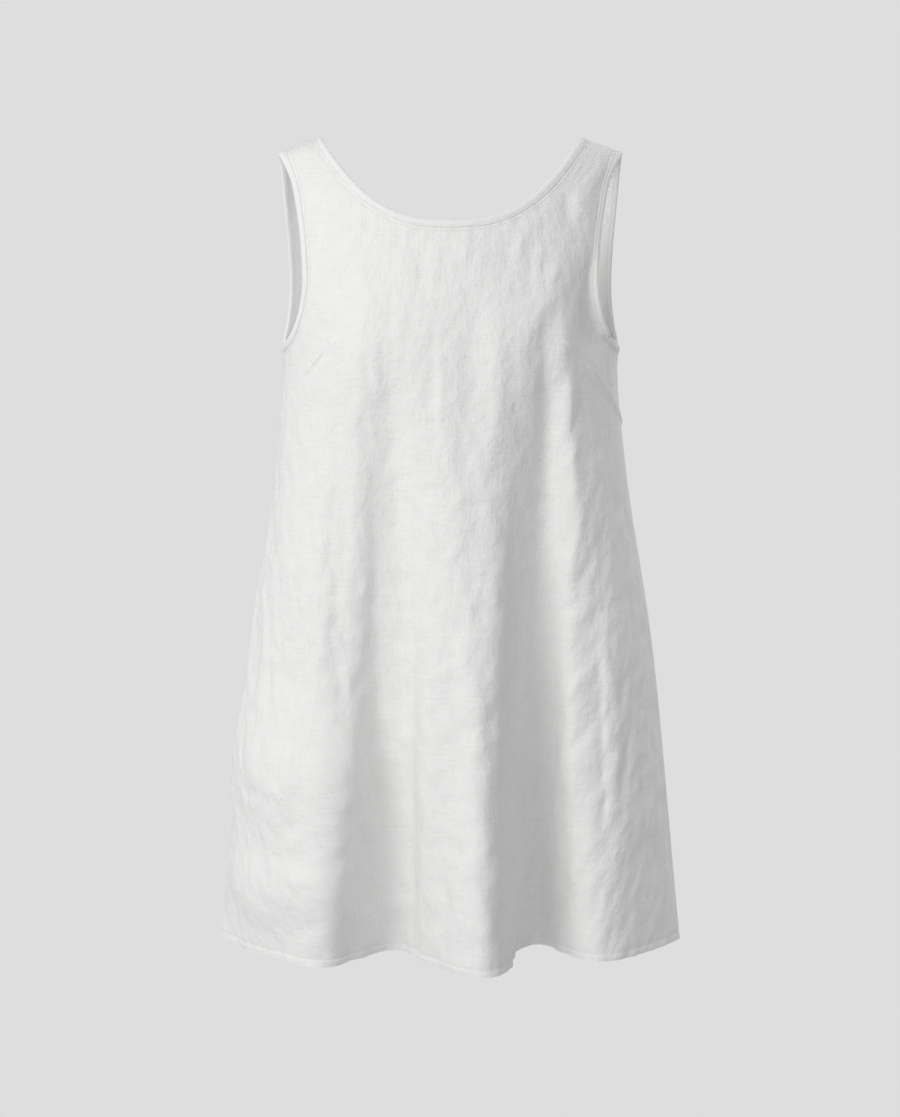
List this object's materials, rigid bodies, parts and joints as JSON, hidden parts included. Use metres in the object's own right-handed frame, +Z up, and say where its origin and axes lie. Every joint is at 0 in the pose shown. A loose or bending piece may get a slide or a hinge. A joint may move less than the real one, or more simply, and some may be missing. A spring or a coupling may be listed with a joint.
{
  "type": "mini dress",
  "caption": "Sleeveless A-line mini dress in plain white linen with a wide scoop neck, broad straps, bust darts, bound edges and soft flare folds, filled out as worn.",
  "frame": {"origin": "midway between the two shoulder straps, at the mean height of their crests, where the wearer's shoulders carry the dress", "axes": "+Z up, -Y out of the front, +X to the right of someone who looks at the front"},
  "size_m": [0.4926, 0.3112, 0.8486],
  "materials": {
    "linen": "plain-woven matte white linen with fine slubs",
    "linen_binding": "folded and topstitched strip of the same white linen"
  },
  "bodies": {
    "root": {"front_panel": "linen", "back_panel": "linen", "neck_binding": "linen_binding", "left_armhole_binding": "linen_binding", "right_armhole_binding": "linen_binding"}
  },
  "joints": []
}
